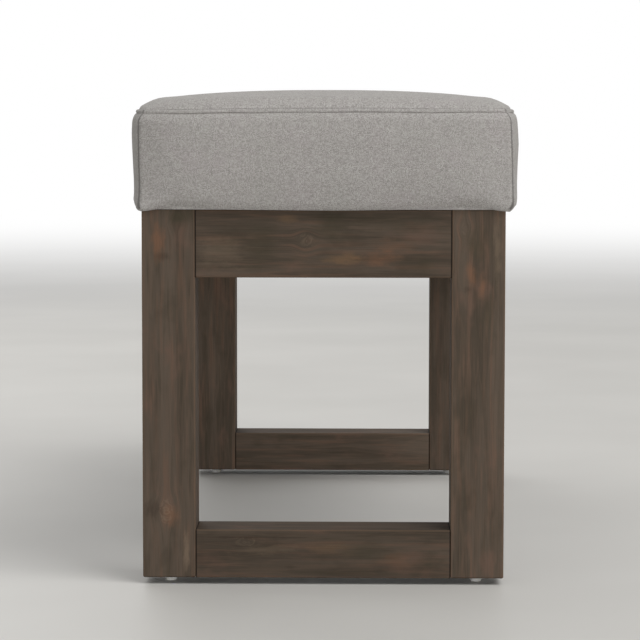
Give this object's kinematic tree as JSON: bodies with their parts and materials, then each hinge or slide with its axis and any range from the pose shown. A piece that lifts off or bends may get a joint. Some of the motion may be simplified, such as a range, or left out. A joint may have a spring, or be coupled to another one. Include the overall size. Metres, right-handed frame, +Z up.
{
  "type": "upholstered footstool",
  "caption": "Upholstered bench-type footstool: boxed fabric seat with a stitched ridge on a stained wood frame of square legs, aprons and floor-level end stretchers.",
  "frame": {"origin": "on the floor, under the middle of the seat", "axes": "+Z up, +Y along the length from the front end to the rear end, +X across the width to the right as seen from the front end"},
  "size_m": [0.413, 0.913, 0.5233],
  "materials": {
    "frame_wood": "matte",
    "bare_wood": "matte",
    "dowel_wood": "matte",
    "plywood": "matte",
    "zinc_steel": "satin",
    "screw_steel": "satin",
    "staple_steel": "satin",
    "nail_steel": "satin",
    "glide_plastic": "satin",
    "seat_foam": "matte",
    "polyester_wadding": "matte",
    "cover_fabric": "matte",
    "dust_fabric": "matte"
  },
  "bodies": {
    "root": {"leg_front_left": "frame_wood", "leg_front_right": "frame_wood", "leg_rear_left": "frame_wood", "leg_rear_right": "frame_wood", "end_apron_front": "frame_wood", "end_apron_rear": "frame_wood", "side_apron_left": "frame_wood", "side_apron_right": "frame_wood", "end_stretcher_front": "frame_wood", "end_stretcher_rear": "frame_wood", "cross_rail": "bare_wood", "corner_brace_front_left": "bare_wood", "corner_brace_front_right": "bare_wood", "corner_brace_rear_left": "bare_wood", "corner_brace_rear_right": "bare_wood", "end_apron_dowels": "dowel_wood", "side_apron_dowels": "dowel_wood", "stretcher_dowels": "dowel_wood", "cross_rail_dowels": "dowel_wood", "hanger_bolts": "zinc_steel", "bolt_washers": "zinc_steel", "bolt_nuts": "zinc_steel", "brace_screws": "screw_steel", "seat_screws": "screw_steel", "glide_front_left": "glide_plastic", "glide_front_right": "glide_plastic", "glide_rear_left": "glide_plastic", "glide_rear_right": "glide_plastic", "glide_nails": "nail_steel", "seat_board": "plywood", "foam_block": "seat_foam", "wadding": "polyester_wadding", "cover_top": "cover_fabric", "cover_front": "cover_fabric", "cover_rear": "cover_fabric", "cover_left": "cover_fabric", "cover_right": "cover_fabric", "cover_staples": "staple_steel", "dust_cover": "dust_fabric", "dust_cover_staples": "staple_steel"}
  },
  "joints": []
}
